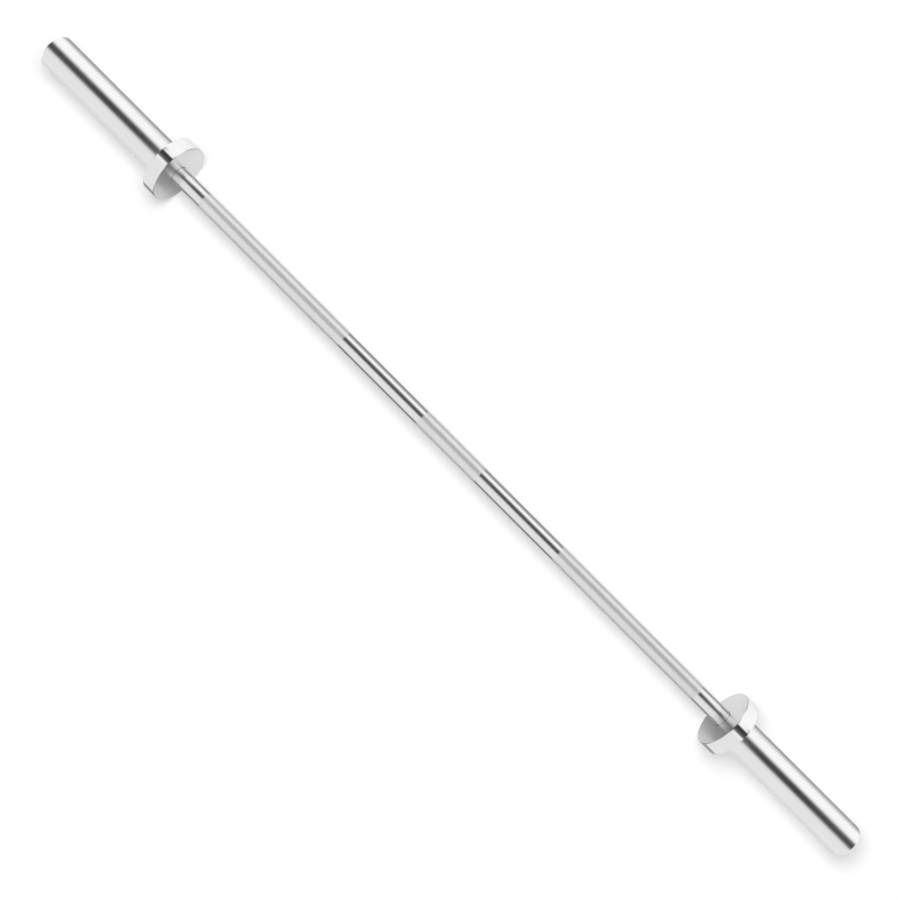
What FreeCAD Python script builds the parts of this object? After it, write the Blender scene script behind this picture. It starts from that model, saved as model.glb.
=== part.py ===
import FreeCAD, Part
import os

import Sketcher

# Short olympic barbell. The bar lies along X with its middle at the origin, and +Z is up.
# All sizes are in millimetres.
SIZES = {
    # Shaft
    "collar_spacing": 1034,
    "grip_diameter": 25,
    "shoulder_height": 1.5,
    "shaft_end_chamfer": 1,
    # Knurled bands, drawn as plain raised bands
    "knurl_rise": 0.15,
    "centre_knurl_length": 110,
    "grip_knurl_length": 265,
    "smooth_by_collar": 50,
    # Collar, a flange with a web that closes the sleeve round the shaft
    "collar_diameter": 88,
    "collar_thickness": 20,
    "collar_edge_radius": 1,
    "web_clearance": 0.4,
    # Dust seal, an O-ring in a gland in the collar's web
    "seal_section": 3,
    "seal_clearance": 0.05,
    "gland_slack": 0.2,
    "gland_wall": 1.3,
    # Sleeve that carries the plates, with a spigot that is pressed into the collar
    "sleeve_diameter": 50,
    "sleeve_length": 213,
    "sleeve_end_radius": 2,
    "spigot_step": 2,
    # Bronze bushings, pressed into the sleeve
    "bushing_wall": 4,
    "bushing_length": 40,
    "bushing_chamfer": 0.5,
    "running_clearance": 0.05,
    # Thrust washers
    "shoulder_setback": 2,
    "washer_thickness": 2,
    "washer_clearance": 0.3,
    "end_float": 0.2,
    # Snap ring on the shaft's end
    "shaft_ring_thickness": 1.2,
    "shaft_ring_width": 3,
    "shaft_ring_taper": 1.2,
    "shaft_ring_gap": 2.6,
    "shaft_ring_hole": 1.8,
    "shaft_groove_depth": 0.5,
    "shaft_ring_clearance": 0.6,
    "shaft_tail": 3,
    # End cap and the snap ring that holds it
    "cap_ledge": 3,
    "cap_thickness": 4,
    "cap_clearance": 0.1,
    "cap_chamfer": 0.6,
    "cap_dish_diameter": 20,
    "cap_dish_depth": 1,
    "cap_gap": 2,
    "cap_recess": 2,
    "cap_ring_thickness": 1.6,
    "cap_ring_width": 3.4,
    "cap_ring_taper": 1.4,
    "cap_ring_gap": 5,
    "cap_ring_lug_radius": 2.5,
    "cap_ring_hole": 2.2,
    "cap_groove_depth": 1.2,
    "groove_slack": 0.1,
}

# Radii of what runs on the shaft
GRIP = "(Sizes.grip_diameter / 2)"
KNURL = f"({GRIP} + Sizes.knurl_rise)"
JOURNAL = f"({GRIP} - Sizes.shoulder_height)"
SHAFT_GROOVE = f"({JOURNAL} - Sizes.shaft_groove_depth)"
BUSH_BORE = f"({JOURNAL} + Sizes.running_clearance)"

# Radii of the collar and its seal
COLLAR = "(Sizes.collar_diameter / 2)"
WEB_BORE = f"({GRIP} + Sizes.web_clearance)"
SEAL_WIRE = "(Sizes.seal_section / 2)"
SEAL_RING = f"({GRIP} + Sizes.seal_clearance + {SEAL_WIRE})"
GLAND = f"({SEAL_RING} + {SEAL_WIRE} + Sizes.seal_clearance)"

# Radii of the sleeve and what sits in it
SLEEVE = "(Sizes.sleeve_diameter / 2)"
SPIGOT = f"({SLEEVE} - Sizes.spigot_step)"
BORE = f"({BUSH_BORE} + Sizes.bushing_wall)"
CAP_SEAT = f"({BORE} + Sizes.cap_ledge)"
CAP = f"({CAP_SEAT} - Sizes.cap_clearance)"
CAP_GROOVE = f"({CAP_SEAT} + Sizes.cap_groove_depth)"

# Places along the bar, measured outwards from a collar's inner face
FACE = "(Sizes.collar_spacing / 2)"
WEB_END = "(Sizes.seal_section + 2 * Sizes.gland_slack + 2 * Sizes.gland_wall)"
SEAL_AT = f"({WEB_END} / 2)"
SLEEVE_END = "(Sizes.collar_thickness + Sizes.sleeve_length)"
CAP_RING_OUT = f"({SLEEVE_END} - Sizes.cap_recess)"
CAP_RING_IN = f"({CAP_RING_OUT} - Sizes.cap_ring_thickness)"
CAP_IN = f"({CAP_RING_IN} - Sizes.cap_thickness)"
SHAFT_END = f"({CAP_IN} - Sizes.cap_gap)"
SHAFT_RING_OUT = f"({SHAFT_END} - Sizes.shaft_tail)"
SHAFT_RING_IN = f"({SHAFT_RING_OUT} - Sizes.shaft_ring_thickness)"
OUTER_WASHER_IN = f"({SHAFT_RING_IN} - Sizes.washer_thickness)"
OUTER_BUSH_IN = f"({OUTER_WASHER_IN} - Sizes.end_float - Sizes.bushing_length)"
SHOULDER = f"({WEB_END} + Sizes.shoulder_setback)"
INNER_BUSH_IN = f"({SHOULDER} + Sizes.washer_thickness + Sizes.end_float)"

# Two places nearer than this are the same
SAME_PLACE = 1e-6
# How far a cutting tool runs past the face that it cuts
CUT_MARGIN = 1
# How much of a snap ring lug's radius is left between its plier hole and the ring's gap
LUG_KEPT = 0.8

doc = FreeCAD.newDocument("olympic_barbell")
sheet = doc.addObject("Spreadsheet::Sheet", "Sizes")
for row, (name, value) in enumerate(SIZES.items(), start=1):
    sheet.set(f"A{row}", name)
    sheet.set(f"B{row}", str(value))
    sheet.setAlias(f"B{row}", name)
doc.recompute()


def number(expression):
    """What an expression of the sheet's sizes comes to now."""
    return float(sheet.evalExpression(expression))


def origin_plane(body, role):
    for feature in body.Origin.OriginFeatures:
        if feature.Role == role:
            return feature
    raise LookupError(role)


def bind(sketch, constraint, expression):
    """Adds a dimension to a sketch and ties it to the sheet."""
    index = sketch.addConstraint(constraint)
    sketch.setExpression(f"Constraints[{index}]", expression)


def pin_down(sketch, kind, axis, corner, expression):
    """Ties one coordinate of a corner to the sheet. A corner on an axis is put on that axis."""
    if expression == "0":
        sketch.addConstraint(Sketcher.Constraint("PointOnObject", corner, 1, axis))
    else:
        bind(sketch, Sketcher.Constraint(kind, -1, 1, corner, 1, number(expression)), expression)


def turn(body, sketch):
    """Turns a half-section once round the bar's axis."""
    turning = body.newObject("PartDesign::Revolution", f"{body.Label}_turning")
    turning.Profile = sketch
    turning.ReferenceAxis = (sketch, ["H_Axis"])
    turning.Angle = 360
    doc.recompute()


def half_section(label):
    """A new body, and the empty sketch of its half-section in the XY plane."""
    body = doc.addObject("PartDesign::Body", label)
    sketch = body.newObject("Sketcher::SketchObject", f"{label}_section")
    sketch.AttachmentSupport = [(origin_plane(body, "XY_Plane"), "")]
    sketch.MapMode = "FlatFace"
    return body, sketch


def turned(label, outline):
    """A piece from the lathe: a closed half-section of (place, radius) corners, turned about X."""
    body, sketch = half_section(label)
    corners = [FreeCAD.Vector(number(place), number(radius), 0) for place, radius in outline]
    followers = corners[1:] + corners[:1]
    sketch.addGeometry([Part.LineSegment(a, b) for a, b in zip(corners, followers)], False)
    for corner in range(len(corners)):
        after = (corner + 1) % len(corners)
        sketch.addConstraint(Sketcher.Constraint("Coincident", corner, 2, after, 1))
    for corner, (place, radius) in enumerate(outline):
        pin_down(sketch, "DistanceX", -2, corner, place)
        pin_down(sketch, "DistanceY", -1, corner, radius)
    turn(body, sketch)
    return body


def rim(feature, place, radius):
    """The name of the round edge with this radius at this place along the bar."""
    for index, edge in enumerate(feature.Shape.Edges, start=1):
        curve = edge.Curve
        if not isinstance(curve, Part.Circle):
            continue
        off_place = abs(curve.Center.x - number(place))
        off_radius = abs(curve.Radius - number(radius))
        if max(off_place, off_radius) < SAME_PLACE:
            return f"Edge{index}"
    raise LookupError(f"no rim at {place}")


def round_rims(body, rims, radius):
    """Rounds the named rims of a turned piece."""
    turning = body.Tip
    edges = [rim(turning, place, reach) for place, reach in rims]
    fillet = body.newObject("PartDesign::Fillet", f"{body.Label}_rounding")
    fillet.Base = (turning, edges)
    fillet.setExpression("Radius", radius)
    doc.recompute()


def rod(label, start, length, radius, across="0", up="0"):
    """A round bar along X whose axis lies at (across, up)."""
    cylinder = doc.addObject("Part::Cylinder", label)
    lengthwise = FreeCAD.Rotation(FreeCAD.Vector(0, 1, 0), 90)
    cylinder.Placement = FreeCAD.Placement(FreeCAD.Vector(), lengthwise)
    cylinder.setExpression("Height", length)
    cylinder.setExpression("Radius", radius)
    cylinder.setExpression("Placement.Base.x", start)
    cylinder.setExpression("Placement.Base.y", across)
    cylinder.setExpression("Placement.Base.z", up)
    return cylinder


def slot_tool(label, start, length, width, low, depth):
    """A box that opens a slot in the XZ plane, from the height low upwards."""
    box = doc.addObject("Part::Box", label)
    box.setExpression("Length", length)
    box.setExpression("Width", width)
    box.setExpression("Height", depth)
    box.setExpression("Placement.Base.x", start)
    box.setExpression("Placement.Base.y", f"-{width} / 2")
    box.setExpression("Placement.Base.z", low)
    return box


def joined(label, base, tool):
    fuse = doc.addObject("Part::Fuse", label)
    fuse.Base = base
    fuse.Tool = tool
    return fuse


def less(label, base, tool):
    cut = doc.addObject("Part::Cut", label)
    cut.Base = base
    cut.Tool = tool
    return cut


def snap_ring(label, start, thickness, hoop, lug_radius, lug_centre, gap, hole):
    """Opens a hoop at its lowest point and gives it two lugs with plier holes beside the gap."""
    past_start = f"{start} - {CUT_MARGIN}"
    past_length = f"{thickness} + {2 * CUT_MARGIN}"
    beside = f"({gap} / 2 + {LUG_KEPT} * {lug_radius})"
    down = f"sqrt({lug_centre} ^ 2 - {beside} ^ 2)"
    places = (("near", f"-{beside}"), ("far", beside))
    ring = hoop
    for hand, across in places:
        lug = rod(f"{label}_{hand}_lug", start, thickness, lug_radius, across, f"-{down}")
        ring = joined(f"{label}_with_{hand}_lug", ring, lug)
    slot_low = f"-({lug_centre} + {lug_radius} + {CUT_MARGIN})"
    slot_depth = f"2 * ({lug_radius} + {CUT_MARGIN})"
    slot = slot_tool(f"{label}_slot", past_start, past_length, gap, slot_low, slot_depth)
    ring = less(f"{label}_open", ring, slot)
    for hand, across in places:
        eye = rod(f"{label}_{hand}_eye", past_start, past_length, f"{hole} / 2", across, f"-{down}")
        ring = less(f"{label}_{hand}_drilled", ring, eye)
    return ring


def make_shaft():
    centre_end = "(Sizes.centre_knurl_length / 2)"
    knurl_end = f"({FACE} - Sizes.smooth_by_collar)"
    knurl_start = f"({knurl_end} - Sizes.grip_knurl_length)"
    shoulder = f"{FACE} + {SHOULDER}"
    groove_in = f"{FACE} + {SHAFT_RING_IN} - Sizes.groove_slack"
    groove_out = f"{FACE} + {SHAFT_RING_OUT}"
    end = f"{FACE} + {SHAFT_END}"
    shaft = turned("shaft", [
        ("0", "0"),
        ("0", KNURL),
        (f"{centre_end} - Sizes.knurl_rise", KNURL),
        (centre_end, GRIP),
        (knurl_start, GRIP),
        (f"{knurl_start} + Sizes.knurl_rise", KNURL),
        (f"{knurl_end} - Sizes.knurl_rise", KNURL),
        (knurl_end, GRIP),
        (shoulder, GRIP),
        (shoulder, JOURNAL),
        (groove_in, JOURNAL),
        (groove_in, SHAFT_GROOVE),
        (groove_out, SHAFT_GROOVE),
        (groove_out, JOURNAL),
        (f"{end} - Sizes.shaft_end_chamfer", JOURNAL),
        (end, f"{JOURNAL} - Sizes.shaft_end_chamfer"),
        (end, "0"),
    ])
    left_half = shaft.newObject("PartDesign::Mirrored", "shaft_left_half")
    left_half.Originals = [shaft.Tip]
    left_half.MirrorPlane = (origin_plane(shaft, "YZ_Plane"), [""])
    shaft.Tip = left_half
    doc.recompute()
    return shaft


def make_collar(label):
    gland_in = "Sizes.gland_wall"
    gland_out = f"{WEB_END} - Sizes.gland_wall"
    collar = turned(label, [
        ("0", WEB_BORE),
        ("0", COLLAR),
        ("Sizes.collar_thickness", COLLAR),
        ("Sizes.collar_thickness", SLEEVE),
        ("Sizes.collar_thickness - Sizes.spigot_step", SPIGOT),
        (WEB_END, SPIGOT),
        (WEB_END, WEB_BORE),
        (gland_out, WEB_BORE),
        (gland_out, GLAND),
        (gland_in, GLAND),
        (gland_in, WEB_BORE),
    ])
    rims = [("0", COLLAR), ("Sizes.collar_thickness", COLLAR)]
    round_rims(collar, rims, "Sizes.collar_edge_radius")
    return collar


def make_dust_seal(label):
    seal, sketch = half_section(label)
    centre = FreeCAD.Vector(number(SEAL_AT), number(SEAL_RING), 0)
    wire = Part.Circle(centre, FreeCAD.Vector(0, 0, 1), number(SEAL_WIRE))
    sketch.addGeometry(wire, False)
    bind(sketch, Sketcher.Constraint("DistanceX", -1, 1, 0, 3, number(SEAL_AT)), SEAL_AT)
    bind(sketch, Sketcher.Constraint("DistanceY", -1, 1, 0, 3, number(SEAL_RING)), SEAL_RING)
    bind(sketch, Sketcher.Constraint("Radius", 0, number(SEAL_WIRE)), SEAL_WIRE)
    turn(seal, sketch)
    return seal


def make_sleeve_tube(label):
    groove_in = f"{CAP_RING_IN} - Sizes.groove_slack"
    tube = turned(label, [
        (WEB_END, BORE),
        (WEB_END, SPIGOT),
        ("Sizes.collar_thickness", SPIGOT),
        ("Sizes.collar_thickness", SLEEVE),
        (SLEEVE_END, SLEEVE),
        (SLEEVE_END, CAP_SEAT),
        (CAP_RING_OUT, CAP_SEAT),
        (CAP_RING_OUT, CAP_GROOVE),
        (groove_in, CAP_GROOVE),
        (groove_in, CAP_SEAT),
        (CAP_IN, CAP_SEAT),
        (CAP_IN, BORE),
    ])
    round_rims(tube, [(SLEEVE_END, SLEEVE)], "Sizes.sleeve_end_radius")
    return tube


def make_bushing(label, start):
    chamfer = "Sizes.bushing_chamfer"
    end = f"{start} + Sizes.bushing_length"
    return turned(label, [
        (start, f"{BUSH_BORE} + {chamfer}"),
        (start, f"{BORE} - {chamfer}"),
        (f"{start} + {chamfer}", BORE),
        (f"{end} - {chamfer}", BORE),
        (end, f"{BORE} - {chamfer}"),
        (end, f"{BUSH_BORE} + {chamfer}"),
        (f"{end} - {chamfer}", BUSH_BORE),
        (f"{start} + {chamfer}", BUSH_BORE),
    ])


def make_inner_bushing(label):
    return make_bushing(label, INNER_BUSH_IN)


def make_outer_bushing(label):
    return make_bushing(label, OUTER_BUSH_IN)


def make_washer(label, start):
    end = f"{start} + Sizes.washer_thickness"
    hole = f"{JOURNAL} + Sizes.running_clearance"
    edge = f"{BORE} - Sizes.washer_clearance"
    return turned(label, [(start, hole), (start, edge), (end, edge), (end, hole)])


def make_inner_washer(label):
    return make_washer(label, SHOULDER)


def make_outer_washer(label):
    return make_washer(label, OUTER_WASHER_IN)


def make_shaft_ring(label):
    thickness = "Sizes.shaft_ring_thickness"
    offset = "Sizes.shaft_ring_taper / 2"
    outside = f"{SHAFT_GROOVE} + Sizes.shaft_ring_width - {offset}"
    disc = rod(f"{label}_disc", SHAFT_RING_IN, thickness, outside, up=offset)
    room = f"({BORE} - Sizes.shaft_ring_clearance - {SHAFT_GROOVE})"
    lug_radius = f"({room} / 2)"
    lug_centre = f"({SHAFT_GROOVE} + {lug_radius})"
    ring = snap_ring(
        label, SHAFT_RING_IN, thickness, disc, lug_radius, lug_centre,
        "Sizes.shaft_ring_gap", "Sizes.shaft_ring_hole",
    )
    past_start = f"{SHAFT_RING_IN} - {CUT_MARGIN}"
    hole = rod(f"{label}_hole", past_start, f"{thickness} + {2 * CUT_MARGIN}", SHAFT_GROOVE)
    return less(f"{label}_hoop", ring, hole)


def make_end_cap(label):
    dish = "(Sizes.cap_dish_diameter / 2)"
    dish_floor = f"{CAP_RING_IN} - Sizes.cap_dish_depth"
    return turned(label, [
        (CAP_IN, "0"),
        (CAP_IN, f"{CAP} - Sizes.cap_chamfer"),
        (f"{CAP_IN} + Sizes.cap_chamfer", CAP),
        (CAP_RING_IN, CAP),
        (CAP_RING_IN, dish),
        (dish_floor, f"{dish} - Sizes.cap_dish_depth"),
        (dish_floor, "0"),
    ])


def make_cap_ring(label):
    thickness = "Sizes.cap_ring_thickness"
    offset = "Sizes.cap_ring_taper / 2"
    inside = f"{CAP_GROOVE} - Sizes.cap_ring_width + {offset}"
    disc = rod(f"{label}_disc", CAP_RING_IN, thickness, CAP_GROOVE)
    past_start = f"{CAP_RING_IN} - {CUT_MARGIN}"
    hole = rod(f"{label}_hole", past_start, f"{thickness} + {2 * CUT_MARGIN}", inside, up=f"-{offset}")
    hoop = less(f"{label}_hoop", disc, hole)
    lug_centre = f"({CAP_GROOVE} - Sizes.cap_ring_lug_radius)"
    return snap_ring(
        label, CAP_RING_IN, thickness, hoop, "Sizes.cap_ring_lug_radius", lug_centre,
        "Sizes.cap_ring_gap", "Sizes.cap_ring_hole",
    )


SIDE_PIECES = {
    "collar": make_collar,
    "dust_seal": make_dust_seal,
    "sleeve_tube": make_sleeve_tube,
    "inner_washer": make_inner_washer,
    "inner_bushing": make_inner_bushing,
    "outer_bushing": make_outer_bushing,
    "outer_washer": make_outer_washer,
    "shaft_ring": make_shaft_ring,
    "end_cap": make_end_cap,
    "cap_ring": make_cap_ring,
}

# Each end's pieces are made outwards from a collar's inner face, then set against the right or
# left end of the grip. The left end is turned half round about Z.
SIDES = {"right": (FACE, 0), "left": (f"-{FACE}", 180)}


def make_end(side):
    """All the pieces of one end, in place."""
    face, half_turn = SIDES[side]
    pieces = []
    for name, make in SIDE_PIECES.items():
        piece = make(f"{side}_{name}")
        piece.Label = f"{side}_{name}"
        turned_end = FreeCAD.Rotation(FreeCAD.Vector(0, 0, 1), half_turn)
        piece.Placement = FreeCAD.Placement(FreeCAD.Vector(), turned_end)
        piece.setExpression("Placement.Base.x", face)
        pieces.append(piece)
    return pieces


def check_built(pieces):
    """Stops before anything is written if a step failed or a piece isn't one sound solid."""
    for item in doc.Objects:
        if "Invalid" in item.State or "Error" in item.State:
            raise RuntimeError(f"{item.Label} did not build: {item.State}")
    for piece in pieces:
        if piece.Shape.isNull() or not piece.Shape.isValid():
            raise RuntimeError(f"{piece.Label} has no sound shape")
        if len(piece.Shape.Solids) != 1:
            raise RuntimeError(f"{piece.Label} is {len(piece.Shape.Solids)} solids")


pieces = [make_shaft()]
for side in SIDES:
    pieces += make_end(side)
doc.recompute()
check_built(pieces)
os.makedirs("parts", exist_ok=True)
for piece in pieces:
    piece.Shape.exportStep(os.path.join("parts", f"{piece.Label}.step"))
    box = piece.Shape.BoundBox
    print(f"{piece.Label}: x {box.XMin:.2f} to {box.XMax:.2f}, volume {piece.Shape.Volume:.0f}")
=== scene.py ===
# %% [markdown]
# # A short olympic barbell in bright chrome
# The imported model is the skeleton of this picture: it knows where every piece sits and how the two
# sleeves spin. This notebook dresses it. Chrome has no colour of its own to speak of and shows the
# room round it instead, so most of the work is in smooth turned meshes and in a plain studio.

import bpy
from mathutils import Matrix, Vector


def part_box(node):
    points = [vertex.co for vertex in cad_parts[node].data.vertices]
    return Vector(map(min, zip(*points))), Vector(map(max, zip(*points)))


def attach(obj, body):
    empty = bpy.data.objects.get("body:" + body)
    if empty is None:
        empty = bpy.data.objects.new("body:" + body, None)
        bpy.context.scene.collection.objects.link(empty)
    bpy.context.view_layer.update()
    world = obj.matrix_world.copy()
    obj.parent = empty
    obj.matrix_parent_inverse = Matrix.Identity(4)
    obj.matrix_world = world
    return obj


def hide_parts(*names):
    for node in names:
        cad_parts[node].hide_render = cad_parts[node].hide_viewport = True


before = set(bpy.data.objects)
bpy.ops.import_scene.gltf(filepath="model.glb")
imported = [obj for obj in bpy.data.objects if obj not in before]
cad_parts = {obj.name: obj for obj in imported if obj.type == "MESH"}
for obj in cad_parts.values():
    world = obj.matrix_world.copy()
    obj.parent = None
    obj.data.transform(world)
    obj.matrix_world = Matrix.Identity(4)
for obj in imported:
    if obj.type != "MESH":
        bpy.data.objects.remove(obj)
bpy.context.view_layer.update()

# %% Blender's own modules
import math

import bmesh
import bpy
from mathutils import Vector

# %% [markdown]
# ## Sizes
# Lengths along the bar come from the frame, so the dressed pieces start and end where the CAD pieces
# do. The frame's circles are cut into flats, so radii are written here as the true sizes of the steel.

# %% Places along the right half of the bar
MM = 0.001


def along(node):
    """Where a node starts and ends along the bar, in metres from the middle."""
    low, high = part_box(node)
    return low.x, high.x


collar_inside, collar_outside = along("right_collar")
tube_inside, tube_end = along("right_sleeve_tube")
cap_inside, cap_outside = along("right_end_cap")
cap_ring_inside, cap_ring_outside = along("right_cap_ring")
shaft_ring_inside, shaft_ring_outside = along("right_shaft_ring")
shoulder = along("right_inner_washer")[0]
shaft_end = along("shaft")[1]
print(f"collar {collar_inside / MM:.1f} to {collar_outside / MM:.1f} mm, sleeve to {tube_end / MM:.1f} mm")

# %% Radii of the steel
GRIP = 12.5 * MM
JOURNAL = 11.0 * MM
SHAFT_GROOVE = 10.5 * MM
COLLAR = 44.0 * MM
COLLAR_BORE = 12.9 * MM
GLAND = 15.6 * MM
SLEEVE = 25.0 * MM
SPIGOT = 23.0 * MM
TUBE_BORE = 15.05 * MM
CAP_SEAT = 18.05 * MM
CAP_GROOVE = 19.25 * MM
CAP = 17.95 * MM
CAP_DISH = 10.0 * MM
print(f"across: shaft {2 * GRIP / MM:.0f}, sleeve {2 * SLEEVE / MM:.0f}, collar {2 * COLLAR / MM:.0f} mm")

# %% [markdown]
# ## Camera
# The photograph looks straight down on the bar from about 1.2 m over its middle, turned so that the
# bar runs from corner to corner. From so near, the faces of the two collars that look at each other
# both show, and the ends of the sleeves don't.

# %% Set the camera over the bar
CAMERA_PLACE = Vector((2.8 * MM, -4.2 * MM, 1177 * MM))
CAMERA_TURN = math.radians(45)
CAMERA_LENS = 35
CAMERA_SENSOR = 36

camera_data = bpy.data.cameras.new("overhead_camera")
camera_data.lens = CAMERA_LENS
camera_data.sensor_width = CAMERA_SENSOR
camera = bpy.data.objects.new("overhead_camera", camera_data)
camera.location = CAMERA_PLACE
camera.rotation_euler = (0, 0, CAMERA_TURN)
bpy.context.scene.collection.objects.link(camera)
bpy.context.scene.camera = camera
bpy.context.scene.view_settings.view_transform = "Standard"
print("camera looks down from", CAMERA_PLACE.z, "m")

# %% [markdown]
# ## Two small helpers for materials
# Colours are written as the sRGB hex values a paint program shows, and Blender's sockets want linear
# light, so one function converts them. A second one adds a node, sets it and links it in one call.

# %% Colour and node helpers
def linear(hex_colour):
    """An sRGB hex colour as the linear RGBA that a socket takes."""
    parts = [int(hex_colour[at:at + 2], 16) / 255 for at in (1, 3, 5)]
    return (*(p / 12.92 if p <= 0.04045 else ((p + 0.055) / 1.055) ** 2.4 for p in parts), 1.0)


def add_node(tree, kind, settings=None, inputs=None):
    """Adds a node; settings are its own properties, inputs are values or sockets to link."""
    node = tree.nodes.new(kind)
    for name, value in (settings or {}).items():
        setattr(node, name, value)
    for name, value in (inputs or {}).items():
        if isinstance(value, bpy.types.NodeSocket):
            tree.links.new(value, node.inputs[name])
        else:
            node.inputs[name].default_value = value
    return node


def new_material(name):
    """An empty procedural material and its Principled shader."""
    material = bpy.data.materials.new(name)
    material.use_nodes = True
    return material, material.node_tree, material.node_tree.nodes["Principled BSDF"]


print("pure white in linear light:", linear("#FFFFFF"))

# %% [markdown]
# ## Bright chrome plate
# Chrome on a bar is a few microns thick and copies the steel under it, so what differs from piece to
# piece is how that steel was finished. A ground shaft and a turned sleeve blur what they mirror a
# little, a buffed collar rim hardly at all. Fine rings left by the tool run round the bar: they are
# a wave along the bar's axis, and their real feed of about 0.1 mm is drawn coarser so that it shows.
# A slow cloud of noise varies the roughness, as wiped and handled chrome does.

# %% Chrome over round steel
WAVE_PERIOD = 2 * math.pi / 20  # Blender's wave repeats after this length at a scale of 1
CLOUD_LOW, CLOUD_HIGH = 0.3, 0.7  # most of Blender's noise lies in this range


def chrome_on_round_steel(name, colour, roughness, haze, haze_size, feed, groove, metallic=1.0):
    """Chrome on a piece that was turned or ground round X, with its tool marks and a light haze."""
    material, tree, shader = new_material(name)
    place = add_node(tree, "ShaderNodeTexCoord").outputs["Object"]
    cloud = add_node(tree, "ShaderNodeTexNoise", {}, {
        "Vector": place, "Scale": 1 / haze_size, "Detail": 3.0, "Roughness": 0.6})
    hazy = add_node(tree, "ShaderNodeMapRange", {}, {
        "Value": cloud.outputs["Fac"], "From Min": CLOUD_LOW, "From Max": CLOUD_HIGH,
        "To Min": roughness - haze, "To Max": roughness + haze})
    marks = add_node(tree, "ShaderNodeTexWave", {"wave_type": "BANDS", "bands_direction": "X"}, {
        "Vector": place, "Scale": WAVE_PERIOD / feed, "Distortion": 1.5, "Detail": 2.0})
    relief = add_node(tree, "ShaderNodeBump", {}, {
        "Height": marks.outputs["Fac"], "Strength": 1.0, "Distance": groove})
    tree.links.new(hazy.outputs["Result"], shader.inputs["Roughness"])
    tree.links.new(relief.outputs["Normal"], shader.inputs["Normal"])
    shader.inputs["Base Color"].default_value = linear(colour)
    shader.inputs["Metallic"].default_value = metallic
    return material


sleeve_chrome = chrome_on_round_steel(
    "chrome_on_turned_sleeve", "#F9F9F9", 0.25, 0.02, 60 * MM, 0.6 * MM, 0.002 * MM)
shaft_chrome = chrome_on_round_steel(
    "chrome_on_ground_shaft", "#F7F7F7", 0.24, 0.02, 40 * MM, 0.5 * MM, 0.001 * MM)
# The pressed flanks of the knurl are so frosted that they scatter light like a pale matt surface, so
# they are set as half metallic only.
knurl_chrome = chrome_on_round_steel(
    "chrome_on_pressed_knurl", "#F6F6F6", 0.80, 0.03, 20 * MM, 0.4 * MM, 0.001 * MM, metallic=0.5)
rim_chrome = chrome_on_round_steel(
    "chrome_on_buffed_collar_rim", "#F7F7F7", 0.10, 0.015, 50 * MM, 0.7 * MM, 0.0005 * MM)
print("chrome finishes for round steel:", len(bpy.data.materials))

# %% [markdown]
# ## Chrome over flats
# The faces of the collars and the end caps were faced off on the lathe, so their tool marks are rings
# round the bar's axis. Such rings spread a reflection across themselves and leave it sharper along
# their run. They are too fine to model: a wave of rings gives a slight relief, and the shader's
# anisotropy spreads the light. A tangent round the axis tells it how the rings run.

# %% Chrome over a faced-off flat
RING_SPREAD = 0.6
ACROSS_RINGS = 0.25  # of a full turn, from the tangent along the rings


def chrome_on_faced_flat(name, colour, roughness, haze, feed, groove):
    """Chrome on a flat that the lathe faced off, with rings round X that spread light outwards."""
    material, tree, shader = new_material(name)
    place = add_node(tree, "ShaderNodeTexCoord").outputs["Object"]
    rings = add_node(tree, "ShaderNodeTexWave", {"wave_type": "RINGS", "rings_direction": "X"}, {
        "Vector": place, "Scale": WAVE_PERIOD / feed, "Distortion": 0.6, "Detail": 2.0})
    hazy = add_node(tree, "ShaderNodeMapRange", {}, {
        "Value": rings.outputs["Fac"], "To Min": roughness - haze, "To Max": roughness + haze})
    relief = add_node(tree, "ShaderNodeBump", {}, {
        "Height": rings.outputs["Fac"], "Strength": 1.0, "Distance": groove})
    around = add_node(tree, "ShaderNodeTangent", {"direction_type": "RADIAL", "axis": "X"})
    tree.links.new(hazy.outputs["Result"], shader.inputs["Roughness"])
    tree.links.new(relief.outputs["Normal"], shader.inputs["Normal"])
    tree.links.new(around.outputs["Tangent"], shader.inputs["Tangent"])
    shader.inputs["Base Color"].default_value = linear(colour)
    shader.inputs["Metallic"].default_value = 1.0
    shader.inputs["Anisotropic"].default_value = RING_SPREAD
    shader.inputs["Anisotropic Rotation"].default_value = ACROSS_RINGS
    return material


face_chrome = chrome_on_faced_flat(
    "chrome_on_faced_collar", "#F1F1F1", 0.30, 0.03, 0.8 * MM, 0.002 * MM)
cap_chrome = chrome_on_faced_flat(
    "chrome_on_faced_cap", "#E6E6E6", 0.28, 0.03, 0.6 * MM, 0.002 * MM)
print("chrome finishes with those for flats:", len(bpy.data.materials))

# %% [markdown]
# ## The small pieces inside
# Bushings, washers, snap rings and seals keep their CAD meshes, because their shapes are right and
# most of them hide inside the sleeves. Each still gets the finish of its real material: oil-soaked
# sintered bronze, ground washer steel, phosphated spring steel and moulded nitrile rubber.

# %% Finishes with a grain
GRAIN_WEAR = 0.1  # how much smoother than the average the highest grains are worn


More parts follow.
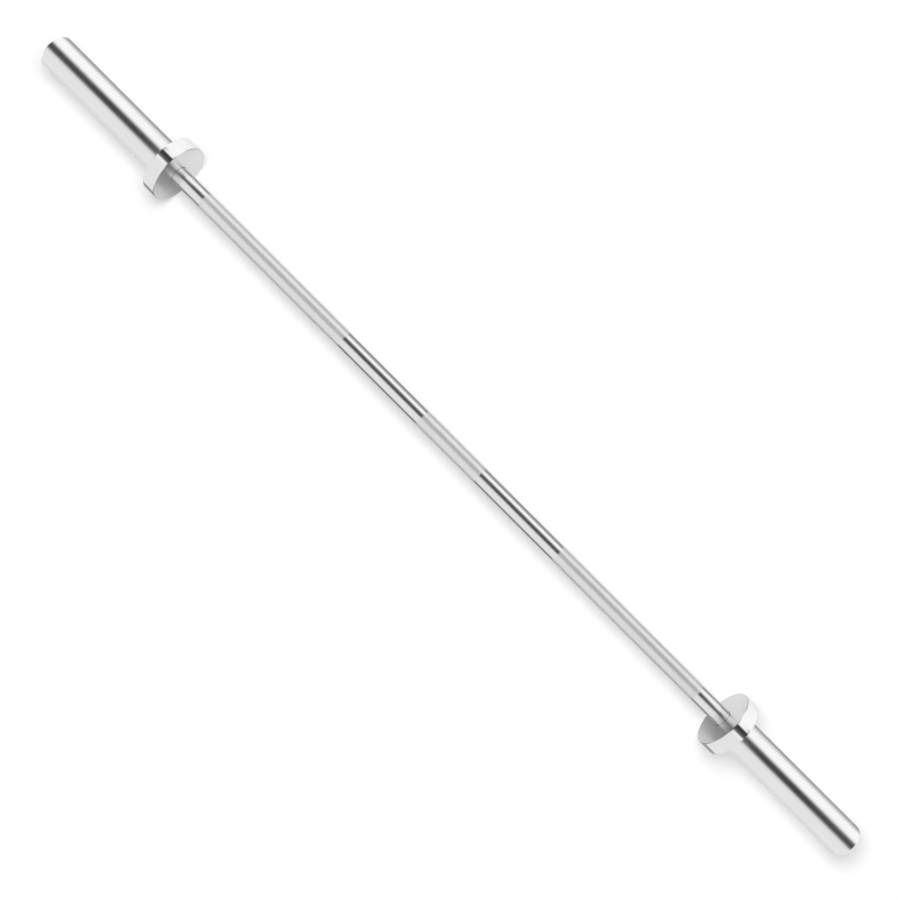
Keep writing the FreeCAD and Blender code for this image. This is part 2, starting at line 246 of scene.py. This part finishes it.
def grained(name, dark, light, grain, roughness, metallic, relief_height):
    """A finish whose colour and height vary from grain to grain."""
    material, tree, shader = new_material(name)
    place = add_node(tree, "ShaderNodeTexCoord").outputs["Object"]
    grains = add_node(tree, "ShaderNodeTexNoise", {}, {
        "Vector": place, "Scale": 1 / grain, "Detail": 4.0, "Roughness": 0.65})
    shades = add_node(tree, "ShaderNodeMix", {"data_type": "RGBA"}, {
        "Factor": grains.outputs["Fac"], 6: linear(dark), 7: linear(light)})
    worn = add_node(tree, "ShaderNodeMapRange", {}, {
        "Value": grains.outputs["Fac"],
        "To Min": roughness + GRAIN_WEAR, "To Max": roughness - GRAIN_WEAR})
    relief = add_node(tree, "ShaderNodeBump", {}, {
        "Height": grains.outputs["Fac"], "Strength": 1.0, "Distance": relief_height})
    tree.links.new(shades.outputs[2], shader.inputs["Base Color"])
    tree.links.new(worn.outputs["Result"], shader.inputs["Roughness"])
    tree.links.new(relief.outputs["Normal"], shader.inputs["Normal"])
    shader.inputs["Metallic"].default_value = metallic
    return material


SMALL_PIECES = {
    "inner_bushing": grained("sintered_bronze", "#8A6A3C", "#C09A5E", 0.5 * MM, 0.4, 1.0, 0.02 * MM),
    "inner_washer": grained("ground_washer_steel", "#9DA0A3", "#C2C5C8", 0.3 * MM, 0.3, 1.0, 0.005 * MM),
    "shaft_ring": grained("phosphated_spring_steel", "#17181A", "#34363A", 0.4 * MM, 0.45, 1.0, 0.01 * MM),
    "dust_seal": grained("moulded_nitrile_rubber", "#0E0F10", "#1C1D1F", 0.3 * MM, 0.6, 0.0, 0.01 * MM),
}
SMALL_PIECES["outer_bushing"] = SMALL_PIECES["inner_bushing"]
SMALL_PIECES["outer_washer"] = SMALL_PIECES["inner_washer"]
SMALL_PIECES["cap_ring"] = SMALL_PIECES["shaft_ring"]

for node_name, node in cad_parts.items():
    finish = SMALL_PIECES.get(node_name.partition("_")[2])
    if finish:
        for slot in node.material_slots:
            slot.material = finish
print("small pieces with their own finish:", len(SMALL_PIECES) * 2)

# %% [markdown]
# ## A lathe in bmesh
# Nearly every piece of the bar came off a lathe, so one helper does what a lathe does: it takes half
# of the section as an outline and spins it once round the bar's axis. A corner can be given a radius,
# and is then rounded on the outline before the spin.

# %% Turn an outline
TURN_STEPS = 160
ROUND_STEPS = 6
MERGE = 0.001 * MM
SHARP = math.radians(30)


def turned(outline, steps=TURN_STEPS):
    """A solid of revolution from (place, radius) corners; a third number rounds that corner.

    The outline closes on itself, unless it starts and ends on the axis.
    """
    blank = bmesh.new()
    corners = [blank.verts.new((corner[0], 0.0, corner[1])) for corner in outline]
    for corner, following in zip(corners, corners[1:]):
        blank.edges.new((corner, following))
    if outline[0][1] > 0:
        blank.edges.new((corners[-1], corners[0]))
    for corner, (_, _, *rounding) in zip(corners, outline):
        if rounding:
            bmesh.ops.bevel(
                blank, geom=[corner], offset=rounding[0], segments=ROUND_STEPS, profile=0.5,
                affect="VERTICES", material=-1)
    spin_round(blank, steps)
    return blank


def spin_round(blank, steps):
    """Spins whatever lies in the half-plane once round the bar's axis and closes the seam."""
    bmesh.ops.spin(
        blank, geom=blank.verts[:] + blank.edges[:], axis=(1, 0, 0), cent=(0, 0, 0),
        angle=2 * math.pi, steps=steps, use_merge=True)
    bmesh.ops.remove_doubles(blank, verts=blank.verts, dist=MERGE)
    bmesh.ops.recalc_face_normals(blank, faces=blank.faces)
    for face in blank.faces:
        face.smooth = True


def make_piece(blank, name, body, node, materials):
    """The bmesh as a named object that stands for its CAD node and rides on its body."""
    for edge in blank.edges:
        edge.smooth = edge.calc_face_angle(0.0) < SHARP
    mesh = bpy.data.meshes.new(name)
    blank.to_mesh(mesh)
    blank.free()
    for material in materials:
        mesh.materials.append(material)
    piece = bpy.data.objects.new(name, mesh)
    bpy.context.scene.collection.objects.link(piece)
    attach(piece, body)
    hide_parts(node)
    print(f"{name}: {len(mesh.polygons)} faces")
    return piece


print("steps round a turned piece:", TURN_STEPS)

# %% [markdown]
# ## The shaft and its knurl
# A knurl is a cross-hatch of grooves that two hard wheels press into the steel, which leaves a field
# of little flat-topped diamonds for the hands. A bump map would look flat at the outline, so the
# diamonds are real here. The shaft is spun with a fine grid of rings and columns over each knurl. On
# that grid every second vertex, like the black squares of a chess board, is the middle of a diamond.
# Joining the other vertices across each square gives the grooves, and a vertex bevel opens each
# middle into a flat top, which is then scaled away from the axis.

# %% Outline of the shaft
KNURL_ROUND = 1.96 * MM  # from diamond to diamond round the shaft; a real one is near 1.5 mm
KNURL_ALONG = 3.0 * MM  # and along it
KNURL_TOP = 12.65 * MM
TOP_SHARE = 65  # per cent of the way from a diamond's middle to its corners
SHAFT_CHAMFER = 1.0 * MM
# The knurls belong to the shaft's node, so the frame doesn't say where they start and end.
CENTRE_KNURL = 55 * MM
GRIP_KNURL_START = 202 * MM
GRIP_KNURL_END = 467 * MM
KNURLS = [
    (-GRIP_KNURL_END, -GRIP_KNURL_START), (-CENTRE_KNURL, CENTRE_KNURL),
    (GRIP_KNURL_START, GRIP_KNURL_END)]
SHAFT_STEPS = 2 * round(2 * math.pi * GRIP / KNURL_ROUND)


def rows_over(length):
    """Rows of the knurl's grid over a length: two for each diamond."""
    return 2 * round(length / KNURL_ALONG)


grip_rows = rows_over(GRIP_KNURL_END - GRIP_KNURL_START)
centre_rows = rows_over(2 * CENTRE_KNURL)
right_end = [
    (shaft_end, 0.0), (shaft_end, JOURNAL - SHAFT_CHAMFER), (shaft_end - SHAFT_CHAMFER, JOURNAL),
    (shaft_ring_outside, JOURNAL), (shaft_ring_outside, SHAFT_GROOVE),
    (shaft_ring_inside, SHAFT_GROOVE), (shaft_ring_inside, JOURNAL),
    (shoulder, JOURNAL), (shoulder, GRIP)]
left_end = [(-place, radius) for place, radius in reversed(right_end)]
# A third number says how many rows the stretch from this corner to the next is cut into.
shaft_outline = [
    *right_end,
    (GRIP_KNURL_END, GRIP, grip_rows), (GRIP_KNURL_START, GRIP),
    (CENTRE_KNURL, GRIP, centre_rows), (-CENTRE_KNURL, GRIP),
    (-GRIP_KNURL_START, GRIP, grip_rows), (-GRIP_KNURL_END, GRIP),
    *left_end]
print("diamonds round the shaft:", SHAFT_STEPS // 2)

# %% Spin the shaft with a grid over each knurl
shaft = bmesh.new()
for (place, radius, *rows), (next_place, next_radius, *_) in zip(shaft_outline, shaft_outline[1:]):
    start = shaft.verts.new((place, 0.0, radius))
    end = shaft.verts.new((next_place, 0.0, next_radius))
    stretch = shaft.edges.new((start, end))
    if rows:
        bmesh.ops.subdivide_edges(shaft, edges=[stretch], cuts=rows[0] - 1)
spin_round(shaft, SHAFT_STEPS)
print("shaft grid:", len(shaft.verts), "vertices")

# %% Cut the grooves and raise the diamonds
GROOVE_FINISH = 1  # second material of the shaft
middles, grooves = [], []
for low, high in KNURLS:
    rows = rows_over(high - low)
    for vert in shaft.verts:
        row = round((vert.co.x - low) / (high - low) * rows)
        if 0 <= row <= rows:
            column = round(math.atan2(vert.co.y, vert.co.z) / (2 * math.pi) * SHAFT_STEPS)
            if (row + column) % 2 == 0:
                grooves.append(vert)
            elif 0 < row < rows:
                middles.append(vert)
print("diamonds on the shaft:", len(middles))
bmesh.ops.connect_verts(shaft, verts=grooves)
for middle in middles:
    for face in middle.link_faces:
        face.smooth = False
        face.material_index = GROOVE_FINISH
tops = bmesh.ops.bevel(
    shaft, geom=middles, offset=TOP_SHARE, offset_type="PERCENT", segments=1, profile=0.5,
    affect="VERTICES", material=-1)
rise = KNURL_TOP / GRIP
bmesh.ops.scale(shaft, vec=(1.0, rise, rise), verts=tops["verts"])
for face in tops["faces"]:
    face.material_index = 0
make_piece(shaft, "knurled_shaft", "bar", "shaft", [shaft_chrome, knurl_chrome])

# %% [markdown]
# ## Sleeves, collars and end caps
# Each end carries the same three chromed turnings. A rounded rim would pull the shading of the flat
# beside it off true, so a ring close to each rounding holds the flat flat. The outlines are written
# for the right end and turned round for the left one.

# %% Outlines of the three turnings
SLEEVE_ROUND = 2.0 * MM
COLLAR_ROUND = 0.6 * MM
SPIGOT_STEP = SLEEVE - SPIGOT
GLAND_WALL = 1.3 * MM
CAP_CHAMFER = 0.6 * MM
CAP_DISH_DEPTH = 1.0 * MM
HOLD = 0.3 * MM  # from a rounding to the ring that keeps the flat beside it flat

sleeve_outline = [
    (tube_inside, TUBE_BORE), (tube_inside, SPIGOT), (collar_outside, SPIGOT), (collar_outside, SLEEVE),
    (tube_end - SLEEVE_ROUND - HOLD, SLEEVE), (tube_end, SLEEVE, SLEEVE_ROUND),
    (tube_end, SLEEVE - SLEEVE_ROUND - HOLD), (tube_end, CAP_SEAT),
    (cap_ring_outside, CAP_SEAT), (cap_ring_outside, CAP_GROOVE),
    (cap_ring_inside, CAP_GROOVE), (cap_ring_inside, CAP_SEAT),
    (cap_inside, CAP_SEAT), (cap_inside, TUBE_BORE)]
collar_outline = [
    (collar_inside, COLLAR_BORE), (collar_inside, COLLAR - COLLAR_ROUND - HOLD),
    (collar_inside, COLLAR, COLLAR_ROUND), (collar_inside + COLLAR_ROUND + HOLD, COLLAR),
    (collar_outside - COLLAR_ROUND - HOLD, COLLAR), (collar_outside, COLLAR, COLLAR_ROUND),
    (collar_outside, COLLAR - COLLAR_ROUND - HOLD), (collar_outside, SLEEVE),
    (collar_outside - SPIGOT_STEP, SPIGOT), (tube_inside, SPIGOT), (tube_inside, COLLAR_BORE),
    (tube_inside - GLAND_WALL, COLLAR_BORE), (tube_inside - GLAND_WALL, GLAND),
    (collar_inside + GLAND_WALL, GLAND), (collar_inside + GLAND_WALL, COLLAR_BORE)]
cap_outline = [
    (cap_inside, 0.0), (cap_inside, CAP - CAP_CHAMFER), (cap_inside + CAP_CHAMFER, CAP),
    (cap_outside, CAP), (cap_outside, CAP_DISH),
    (cap_outside - CAP_DISH_DEPTH, CAP_DISH - CAP_DISH_DEPTH), (cap_outside - CAP_DISH_DEPTH, 0.0)]
print("corners in the outlines:", len(sleeve_outline), len(collar_outline), len(cap_outline))

# %% Turn them for both ends
FACE_FINISH = 1  # second material of a collar
FLAT = 0.9  # a face whose normal keeps this much along the bar counts as faced off
SIDES = (("left", -1), ("right", 1))

for side, way in SIDES:
    body = f"{side}_sleeve"
    sleeve, collar, cap = (
        turned([(way * place, *rest) for place, *rest in outline])
        for outline in (sleeve_outline, collar_outline, cap_outline))
    for face in collar.faces:
        if abs(face.normal.x) > FLAT:
            face.material_index = FACE_FINISH
    make_piece(
        sleeve, f"{side}_chromed_sleeve", body, f"{side}_sleeve_tube", [sleeve_chrome])
    make_piece(
        collar, f"{side}_chromed_collar", body, f"{side}_collar",
        [rim_chrome, face_chrome])
    make_piece(cap, f"{side}_chromed_cap", body, f"{side}_end_cap", [cap_chrome])

# %% [markdown]
# ## Light and floor
# Two lights share the work: one broad lamp over the bar, a little towards the top of the picture, and
# an even soft light from all round. Together they show a colour about as it is written. The bar
# lies on plain pale paper, on the rims of its collars. A picture like this one is exposed until the
# paper goes white. Here the paper glows by what the light on it lacks of white, where the camera or a
# mirror sees it, so the bar gets no more light than before and its soft shadow stays on the paper.

# %% Plan the light
LAMP_LIGHT = 0.70  # of the light that shows a white sheet as plain white
SOFT_LIGHT = 0.30
LAMP_HEIGHT = 1.2
LAMP_TILT = math.radians(12.5)  # off straight up, as seen from the middle of the bar
LAMP_TURN = math.radians(58)  # from +Y towards -X
LAMP_RADIUS = 0.36

lamp_side = Vector((-math.sin(LAMP_TURN), math.cos(LAMP_TURN), 0.0))
lamp_place = LAMP_HEIGHT * (math.tan(LAMP_TILT) * lamp_side + Vector((0.0, 0.0, 1.0)))
print("lamp at", lamp_place)

# %% Make the paper
FLOOR_WHITE = 1.02  # where 1 is plain white
SPARE_WHITE = 1.10
SPARE_START = 100 * MM  # from a line under the bar, where its shadow has ended
SPARE_FULL = 200 * MM
SPARE_INSET = 50 * MM  # that line ends this far before the sleeves' tips
PAPER_DARK, PAPER_LIGHT = "#DFDFDF", "#E1E1E1"

floor_paper, tree, shader = new_material("matt_pale_paper")
place = add_node(tree, "ShaderNodeTexCoord").outputs["Object"]
fibres = add_node(tree, "ShaderNodeTexNoise", {}, {"Vector": place, "Scale": 1 / (2 * MM), "Detail": 3.0})
tint = add_node(tree, "ShaderNodeMix", {"data_type": "RGBA"}, {
    "Factor": fibres.outputs["Fac"], 6: linear(PAPER_DARK), 7: linear(PAPER_LIGHT)})
# The lamp's light on level paper goes with its height over its distance.
paper = (linear(PAPER_DARK)[0] + linear(PAPER_LIGHT)[0]) / 2
distance = add_node(tree, "ShaderNodeVectorMath", {"operation": "DISTANCE"}, {0: place, 1: lamp_place})
lamp_share = add_node(tree, "ShaderNodeMath", {"operation": "DIVIDE"}, {
    0: LAMP_HEIGHT + COLLAR, 1: distance.outputs["Value"]})
# Clear of the shadow the paper has some white to spare, so that grain in the light leaves no specks.
aside = add_node(tree, "ShaderNodeVectorMath", {"operation": "ABSOLUTE"}, {0: place})
past_bar = add_node(tree, "ShaderNodeVectorMath", {"operation": "SUBTRACT"}, {
    0: aside.outputs["Vector"], 1: (tube_end - SPARE_INSET, 0.0, COLLAR)})
clear_of_bar = add_node(tree, "ShaderNodeVectorMath", {"operation": "MAXIMUM"}, {
    0: past_bar.outputs["Vector"], 1: (0.0, 0.0, 0.0)})
from_bar = add_node(tree, "ShaderNodeVectorMath", {"operation": "LENGTH"}, {
    0: clear_of_bar.outputs["Vector"]})
without_lamp = add_node(tree, "ShaderNodeMapRange", {}, {
    "Value": from_bar.outputs["Value"], "From Min": SPARE_START, "From Max": SPARE_FULL,
    "To Min": FLOOR_WHITE - paper * SOFT_LIGHT, "To Max": SPARE_WHITE - paper * SOFT_LIGHT})
lacking = add_node(tree, "ShaderNodeMath", {"operation": "MULTIPLY_ADD"}, {
    0: lamp_share.outputs[0], 1: -paper * LAMP_LIGHT, 2: without_lamp.outputs["Result"]})
rays = add_node(tree, "ShaderNodeLightPath")
seen = add_node(tree, "ShaderNodeMath", {"operation": "MAXIMUM"}, {
    0: rays.outputs["Is Camera Ray"], 1: rays.outputs["Is Transmission Ray"]})
shown = add_node(tree, "ShaderNodeMath", {"operation": "MAXIMUM"}, {
    0: seen.outputs[0], 1: rays.outputs["Is Glossy Ray"]})
glow = add_node(tree, "ShaderNodeMath", {"operation": "MULTIPLY"}, {
    0: lacking.outputs[0], 1: shown.outputs[0]})
tree.links.new(tint.outputs[2], shader.inputs["Base Color"])
tree.links.new(glow.outputs[0], shader.inputs["Emission Strength"])
shader.inputs["Emission Color"].default_value = linear("#FFFFFF")
shader.inputs["Roughness"].default_value = 1.0
shader.inputs["Specular IOR Level"].default_value = 0.0
print("the paper throws back", round(paper, 3), "of the light")

# %% Lay the floor
FLOOR_SIZE = 10.0


def flat_sheet(name, corners, material):
    """A flat sheet with these (x, y, z) corners."""
    sheet = bmesh.new()
    sheet.faces.new([sheet.verts.new(corner) for corner in corners])
    mesh = bpy.data.meshes.new(name)
    sheet.to_mesh(mesh)
    sheet.free()
    mesh.materials.append(material)
    laid = bpy.data.objects.new(name, mesh)
    bpy.context.scene.collection.objects.link(laid)
    return laid


half = FLOOR_SIZE / 2
floor_corners = [(-half, -half), (half, -half), (half, half), (-half, half)]
floor = flat_sheet("floor", [(x, y, -COLLAR) for x, y in floor_corners], floor_paper)
print("floor at", floor.bound_box[0][2], "m")

# %% [markdown]
# ## White tents
# Chrome mirrors what stands round it, so it is shot between white tents. Mirrored rays see one on each
# side of the bar, the lower one in the picture a little darker. The camera sees plain white, and
# everything else gets an even soft light.

# %% Put up the tents
# Degrees from straight up, towards +Y, and the tent's colour there.
TENTS = [(-180, "#EAEAEA"), (-20, "#EAEAEA"), (40, "#FFFFFF"), (180, "#FFFFFF")]


def set_ramp(ramp, stops):
    """Gives a colour ramp these (position, colour) stops."""
    while len(ramp.elements) < len(stops):
        ramp.elements.new(0.5)
    for element, (position, grey) in zip(ramp.elements, stops):
        element.position = position
        element.color = linear(grey)


world = bpy.data.worlds.new("white_studio")
bpy.context.scene.world = world
world.use_nodes = True
tree = world.node_tree
tree.nodes.clear()
looking = add_node(tree, "ShaderNodeTexCoord").outputs["Generated"]
parts = add_node(tree, "ShaderNodeSeparateXYZ", {}, {"Vector": looking})
angle = add_node(tree, "ShaderNodeMath", {"operation": "ARCTAN2"}, {
    0: parts.outputs["Y"], 1: parts.outputs["Z"]})
turn = add_node(tree, "ShaderNodeMapRange", {}, {
    "Value": angle.outputs[0], "From Min": -math.pi, "From Max": math.pi})
tents = add_node(tree, "ShaderNodeValToRGB", {}, {"Fac": turn.outputs["Result"]})
set_ramp(tents.color_ramp, [((degrees + 180) / 360, grey) for degrees, grey in TENTS])
rays = add_node(tree, "ShaderNodeLightPath")
seen = add_node(tree, "ShaderNodeMath", {"operation": "MAXIMUM"}, {
    0: rays.outputs["Is Camera Ray"], 1: rays.outputs["Is Transmission Ray"]})
# Light that the chrome throws back on the floor counts as soft light, or it would fill the shadow.
mirror_first = add_node(tree, "ShaderNodeMath", {"operation": "SUBTRACT", "use_clamp": True}, {
    0: rays.outputs["Is Glossy Ray"], 1: rays.outputs["Diffuse Depth"]})
mirrored = add_node(tree, "ShaderNodeMix", {"data_type": "RGBA"}, {
    "Factor": mirror_first.outputs[0],
    6: (SOFT_LIGHT, SOFT_LIGHT, SOFT_LIGHT, 1.0), 7: tents.outputs["Color"]})
shown = add_node(tree, "ShaderNodeMix", {"data_type": "RGBA"}, {
    "Factor": seen.outputs[0], 6: mirrored.outputs[2], 7: linear("#FFFFFF")})
background = add_node(tree, "ShaderNodeBackground", {}, {"Color": shown.outputs[2], "Strength": 1.0})
add_node(tree, "ShaderNodeOutputWorld", {}, {"Surface": background.outputs["Background"]})
print("stops in the tents:", len(tents.color_ramp.elements))

# %% [markdown]
# ## Cards that only the chrome sees
# A photographer chooses what chrome mirrors by hanging and laying cards out of the picture. Mirrored
# rays leave the bar fanned out along it in the same way as the camera's own rays reach it, because a
# round bar turns them only across. So a card meant for one stretch of the bar has to widen with its
# distance, and the fan below says by how much.

# %% Shaded cards
def fan(place, path):
    """Where along the bar a mirrored ray from a place on it has got to after this path across the bar."""
    return place * (1 + path / CAMERA_PLACE.z)


def shaded_card(name, corners, shades, one_sided=False):
    """A card with these (x, y, z) corners, shaded by (y, colour) stops; only mirrored rays see it.

    A one-sided card is clear from the side on which its corners run clockwise.
    """
    paper, tree, shader = new_material(f"{name}_paper")
    place = add_node(tree, "ShaderNodeTexCoord").outputs["Object"]
    parts = add_node(tree, "ShaderNodeSeparateXYZ", {}, {"Vector": place})
    low, high = shades[0][0], shades[-1][0]
    across = add_node(tree, "ShaderNodeMapRange", {}, {
        "Value": parts.outputs["Y"], "From Min": low, "From Max": high})
    shade = add_node(tree, "ShaderNodeValToRGB", {}, {"Fac": across.outputs["Result"]})
    set_ramp(shade.color_ramp, [((y - low) / (high - low), grey) for y, grey in shades])
    tree.links.new(shade.outputs["Color"], shader.inputs["Emission Color"])
    if one_sided:
        behind = add_node(tree, "ShaderNodeNewGeometry").outputs["Backfacing"]
        solid = add_node(tree, "ShaderNodeMath", {"operation": "SUBTRACT"}, {0: 1.0, 1: behind})
        tree.links.new(solid.outputs[0], shader.inputs["Alpha"])
    shader.inputs["Emission Strength"].default_value = 1.0
    shader.inputs["Base Color"].default_value = linear("#000000")
    shader.inputs["Roughness"].default_value = 1.0
    shader.inputs["Specular IOR Level"].default_value = 0.0
    card = flat_sheet(name, corners, paper)
    card.visible_camera = False
    card.visible_diffuse = False
    card.visible_transmission = False
    card.visible_shadow = False
    return card


print("a ray from 500 mm has moved to", round(fan(500, 200)), "mm after a path of 200 mm")

# %% [markdown]
# ## Dark strips over the bar
# A dark strip hangs over the bar between the tents, and every round piece draws it as a black line
# along its top. On the ground shaft and the turned sleeves that line is broad and soft, on the buffed
# collars narrow and crisp, so each stretch has a strip of its own.

# %% Hang the strips
STRIP_HEIGHT = 150 * MM
SHAFT_STRIP = [
    (-19, "#EAEAEA"), (-3, "#484848"), (14, "#424242"), (24, "#545454"), (33, "#787878"), (46, "#FFFFFF")]
RIM_STRIP = [
    (-14, "#EAEAEA"), (-9, "#F6F6F6"), (-4, "#F6F6F6"), (1.5, "#707070"), (8, "#4C4C4C"),
    (15, "#3A3A3A"), (21, "#3A3A3A"), (25.5, "#FFFFFF")]
SLEEVE_STRIP = [(-25, "#EAEAEA"), (-11, "#383838"), (21, "#343434"), (37, "#FFFFFF")]
LAST_OF_SHAFT = collar_inside - 12 * MM  # beyond this the shaft mirrors the collar instead
# The sleeve lies lower than the rim, so its rays fan out further on their way up. With these two places
# the strip of the rim ends about where the strip of the sleeve starts.
PAST_RIM = collar_outside + 6 * MM
START_OF_STRIP = collar_outside - 2 * MM
PAST_END = tube_end + 60 * MM


def hang_strip(name, start, end, radius, shades):
    """Hangs a strip that a round piece of this radius mirrors between two places along the bar.

    shades are (degrees, colour) stops, by the angle from straight up at which mirrored rays leave.
    """
    stops = []
    for degrees, grey in shades:
        leaving = math.radians(degrees)
        foot_y, foot_z = radius * math.sin(leaving / 2), radius * math.cos(leaving / 2)
        stops.append((foot_y + math.tan(leaving) * (STRIP_HEIGHT - foot_z), grey))
    rise = STRIP_HEIGHT - radius
    left, right = fan(start, rise), fan(end, rise)
    near, far = stops[0][0], stops[-1][0]
    corners = [(left, near), (right, near), (right, far), (left, far)]
    shaded_card(name, [(x, y, STRIP_HEIGHT) for x, y in corners], stops)


hang_strip("shaft_strip", -LAST_OF_SHAFT, LAST_OF_SHAFT, GRIP, SHAFT_STRIP)
for side, way in SIDES:
    hang_strip(f"{side}_rim_strip", way * collar_inside, way * PAST_RIM, COLLAR, RIM_STRIP)
    hang_strip(f"{side}_sleeve_strip", way * START_OF_STRIP, way * PAST_END, SLEEVE, SLEEVE_STRIP)

# %% [markdown]
# ## Grey cards beside the bar
# White floor on both sides would leave bright chrome without an edge. Grey cards on the floor along
# the bar give the pieces an outline that reads against the white. Past the shaft's upper card another
# one curls up like a studio's backdrop, and leads softly from the grey to the white tent.

# %% Lay the cards
CARD_LIFT = 0.5 * MM
END_OF_SHAFT = collar_inside - 7 * MM  # about half way from the last of the shaft to the collar
START_OF_SLEEVE = collar_outside + 3 * MM
PIECE_DEPTH = 12 * MM  # mirrored rays start about this far from the axis
CURL_RISE = 750 * MM
# Millimetres from the bar and the card's colour there.
SHAFT_UPPER = [(40, "#989898"), (220, "#949494"), (1000, "#989898"), (2500, "#A8A8A8")]
SHAFT_CURL = [(2500, "#A0A0A0"), (2900, "#F0F0F0")]
SHAFT_LOWER = [
    (-2500, "#EAEAEA"), (-400, "#E0E0E0"), (-220, "#A8A8A8"), (-110, "#707070"), (-40, "#707070")]
RIM_UPPER = [(40, "#F0F0F0"), (105, "#F1F1F1"), (165, "#F9F9F9"), (270, "#FFFFFF"), (2500, "#FFFFFF")]
RIM_LOWER = [(-2500, "#EAEAEA"), (-112, "#EAEAEA"), (-98, "#9C9C9C"), (-40, "#9C9C9C")]
SLEEVE_UPPER = [
    (40, "#8C8C8C"), (82, "#9E9E9E"), (122, "#BEBEBE"), (193, "#D8D8D8"), (400, "#FAFAFA"),
    (2500, "#FFFFFF")]
SLEEVE_LOWER = [(-2500, "#EAEAEA"), (-200, "#E8E8E8"), (-82, "#E0E0E0"), (-40, "#DCDCDC")]


def lay_card(name, start, end, shades, rise=0.0):
    """Lays a card beside the bar that is mirrored between two places along it; rise lifts its far edge."""
    stops = [(y * MM, grey) for y, grey in shades]
    corners = []
    for (y, _), lift in ((stops[0], 0.0), (stops[-1], rise)):
        path = abs(y) - PIECE_DEPTH
        edge = [(fan(place, path), y, -COLLAR + CARD_LIFT + lift) for place in (start, end)]
        corners += edge if not corners else reversed(edge)
    shaded_card(name, corners, stops)


lay_card("shaft_upper_card", -END_OF_SHAFT, END_OF_SHAFT, SHAFT_UPPER)
lay_card("shaft_curl_card", -END_OF_SHAFT, END_OF_SHAFT, SHAFT_CURL, rise=CURL_RISE)
lay_card("shaft_lower_card", -END_OF_SHAFT, END_OF_SHAFT, SHAFT_LOWER)
for side, way in SIDES:
    lay_card(f"{side}_rim_upper_card", way * END_OF_SHAFT, way * START_OF_SLEEVE, RIM_UPPER)
    lay_card(f"{side}_rim_lower_card", way * END_OF_SHAFT, way * START_OF_SLEEVE, RIM_LOWER)
    lay_card(f"{side}_sleeve_upper_card", way * START_OF_SLEEVE, way * PAST_END, SLEEVE_UPPER)
    lay_card(f"{side}_sleeve_lower_card", way * START_OF_SLEEVE, way * PAST_END, SLEEVE_LOWER)

# %% [markdown]
# ## Painted shade before the collars
# A collar's inner face mirrors the floor before it, where the bar keeps the light off on one side, and
# over the shaft it mirrors the shaft. Instead, a glowing card on the floor and one that stands across the
# shaft carry a painted shade, darkest beside the axis, and the face mirrors that. The standing one is
# clear from behind, so that the rest of the shaft doesn't mirror it.

# %% Set the painted shade cards before the collars
FACE_DEPTH = 45 * MM  # from the collar to the far edge of the card on the floor
FACE_LIFT = 1.0 * MM
FLAG_DEPTH = 16 * MM  # from the collar to the standing card
FLAG_TOP = COLLAR + 4 * MM
# Millimetres across the bar and the colour of the card's painted shade there, darkest beside the axis.
FACE_PAINTED_SHADE = [
    (-56, "#E2E2E2"), (-43, "#DADADA"), (-34, "#CACACA"), (-24, "#B0B0B0"), (-14, "#949494"),
    (-3, "#585858"), (2, "#585858"), (7, "#E8E8E8"), (56, "#E8E8E8")]
FLAG_PAINTED_SHADE = [
    (-30, "#A8A8A8"), (-14, "#888888"), (-3, "#666666"), (1, "#707070"), (6, "#C8C8C8"),
    (12, "#E4E4E4"), (30, "#E8E8E8")]
face_stops = [(y * MM, grey) for y, grey in FACE_PAINTED_SHADE]
flag_stops = [(y * MM, grey) for y, grey in FLAG_PAINTED_SHADE]
face_level = -COLLAR + FACE_LIFT
for side, way in SIDES:
    foot, front = way * collar_inside, way * (collar_inside - FACE_DEPTH)
    near, far = face_stops[0][0], face_stops[-1][0]
    corners = [(foot, near), (front, near), (front, far), (foot, far)]
    shaded_card(f"{side}_face_shade_card", [(x, y, face_level) for x, y in corners], face_stops)
    stand = way * (collar_inside - FLAG_DEPTH)
    near, far = flag_stops[0][0], flag_stops[-1][0]
    corners = [(near, face_level), (far, face_level), (far, FLAG_TOP), (near, FLAG_TOP)]
    towards_collar = [(stand, y, z) for y, z in corners[::way]]
    shaded_card(f"{side}_flag_shade_card", towards_collar, flag_stops, one_sided=True)

# %% [markdown]
# ## The lamp that throws the shadow
# The lamp is a soft ball of light. Its light doesn't fade with distance here, so both ends of the bar
# get a shadow of about the same depth. Its own disc would burn a hot streak into the chrome, so
# mirrored rays don't see it.

# %% Hang the soft lamp
lamp_data = bpy.data.lights.new("soft_lamp", "POINT")
# A lamp's watts leave all round, over 4 pi, and a matt sheet shows what falls on it divided by pi.
lamp_data.energy = LAMP_LIGHT * 4 * math.pi ** 2
lamp_data.shadow_soft_size = LAMP_RADIUS
lamp_data.use_nodes = True
tree = lamp_data.node_tree
even = add_node(tree, "ShaderNodeLightFalloff", {}, {"Strength": 1.0})
tree.links.new(even.outputs["Constant"], tree.nodes["Emission"].inputs["Strength"])
lamp = bpy.data.objects.new("soft_lamp", lamp_data)
lamp.location = lamp_place
lamp.visible_camera = False
lamp.visible_glossy = False
bpy.context.scene.collection.objects.link(lamp)
print("lamp energy:", round(lamp_data.energy, 3))
